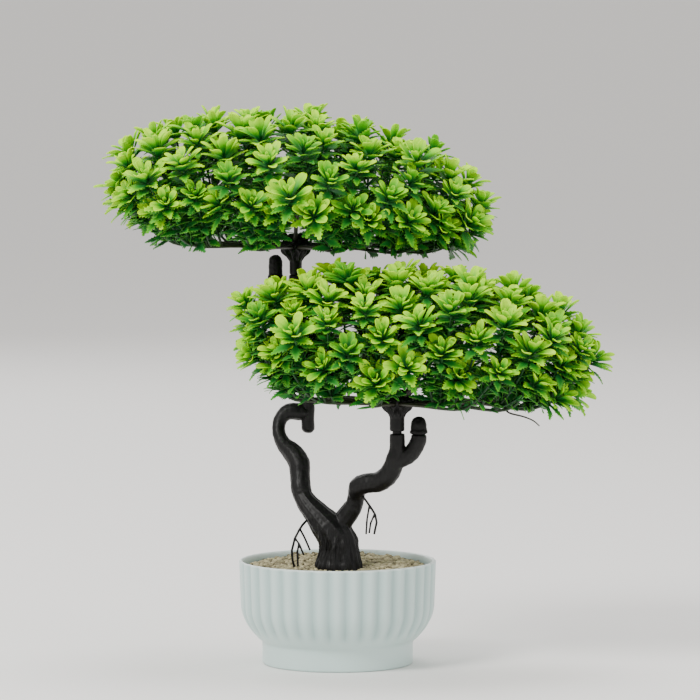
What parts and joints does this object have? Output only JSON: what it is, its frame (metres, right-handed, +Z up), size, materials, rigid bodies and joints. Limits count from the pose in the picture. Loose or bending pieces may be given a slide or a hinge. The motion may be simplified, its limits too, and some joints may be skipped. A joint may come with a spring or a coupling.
{
  "type": "artificial tabletop tree",
  "caption": "Artificial bonsai-style tabletop tree: fluted round pot with gravel, forked black trunk, and upper and lower leafy canopies that lift off and turn on pins.",
  "frame": {"origin": "centre of the pot's flat underside", "axes": "+Z up through the pot, -Y towards the side the picture shows, +X to its right"},
  "size_m": [0.3197, 0.1854, 0.354],
  "materials": {
    "pot_glaze": "satin",
    "filler": "matte",
    "gravel": "matte",
    "bark_black": "satin",
    "bark_cap": "matte",
    "pin_black": "satin",
    "twig_brown": "satin",
    "leaf_green": "satin"
  },
  "bodies": {
    "tree": {"pot": "pot_glaze", "filler_block": "filler", "gravel_bed": "gravel", "trunk_base": "bark_black", "left_limb": "bark_black", "riser": "bark_black", "left_stub_cap": "bark_cap", "right_limb": "bark_black", "right_stub_cap": "bark_cap", "left_root": "bark_black", "right_root": "bark_black"},
    "upper_pin": {"upper_dowel": "pin_black"},
    "upper_canopy": {"upper_hub": "twig_brown", "upper_outer_spray_01": "leaf_green", "upper_outer_spray_02": "leaf_green", "upper_outer_spray_03": "leaf_green", "upper_outer_spray_04": "leaf_green", "upper_outer_spray_05": "leaf_green", "upper_outer_spray_06": "leaf_green", "upper_outer_spray_07": "leaf_green", "upper_outer_spray_08": "leaf_green", "upper_outer_spray_09": "leaf_green", "upper_outer_spray_10": "leaf_green", "upper_outer_spray_11": "leaf_green", "upper_outer_spray_12": "leaf_green", "upper_inner_spray_1": "leaf_green", "upper_inner_spray_2": "leaf_green", "upper_inner_spray_3": "leaf_green", "upper_inner_spray_4": "leaf_green", "upper_inner_spray_5": "leaf_green", "upper_inner_spray_6": "leaf_green", "upper_inner_spray_7": "leaf_green", "upper_inner_spray_8": "leaf_green"},
    "lower_pin": {"lower_dowel": "pin_black"},
    "lower_canopy": {"lower_hub": "twig_brown", "lower_outer_spray_01": "leaf_green", "lower_outer_spray_02": "leaf_green", "lower_outer_spray_03": "leaf_green", "lower_outer_spray_04": "leaf_green", "lower_outer_spray_05": "leaf_green", "lower_outer_spray_06": "leaf_green", "lower_outer_spray_07": "leaf_green", "lower_outer_spray_08": "leaf_green", "lower_outer_spray_09": "leaf_green", "lower_outer_spray_10": "leaf_green", "lower_outer_spray_11": "leaf_green", "lower_outer_spray_12": "leaf_green", "lower_inner_spray_1": "leaf_green", "lower_inner_spray_2": "leaf_green", "lower_inner_spray_3": "leaf_green", "lower_inner_spray_4": "leaf_green", "lower_inner_spray_5": "leaf_green", "lower_inner_spray_6": "leaf_green", "lower_inner_spray_7": "leaf_green", "lower_inner_spray_8": "leaf_green"}
  },
  "joints": [
    {"name": "upper_lift", "type": "slide", "parent": "tree", "child": "upper_pin", "axis": [0, 0, 1], "range_m": [0, 0.014]},
    {"name": "upper_turn", "type": "hinge", "parent": "upper_pin", "child": "upper_canopy", "pos_m": [-0.027, 0.038, 0.25], "axis": [0, 0, 1], "continuous": true},
    {"name": "lower_lift", "type": "slide", "parent": "tree", "child": "lower_pin", "axis": [0, 0, 1], "range_m": [-0.0013, 0.001]},
    {"name": "lower_turn", "type": "hinge", "parent": "lower_pin", "child": "lower_canopy", "pos_m": [0.0376, -0.027, 0.152], "axis": [0, 0, 1], "range_deg": [-5, 60]}
  ]
}
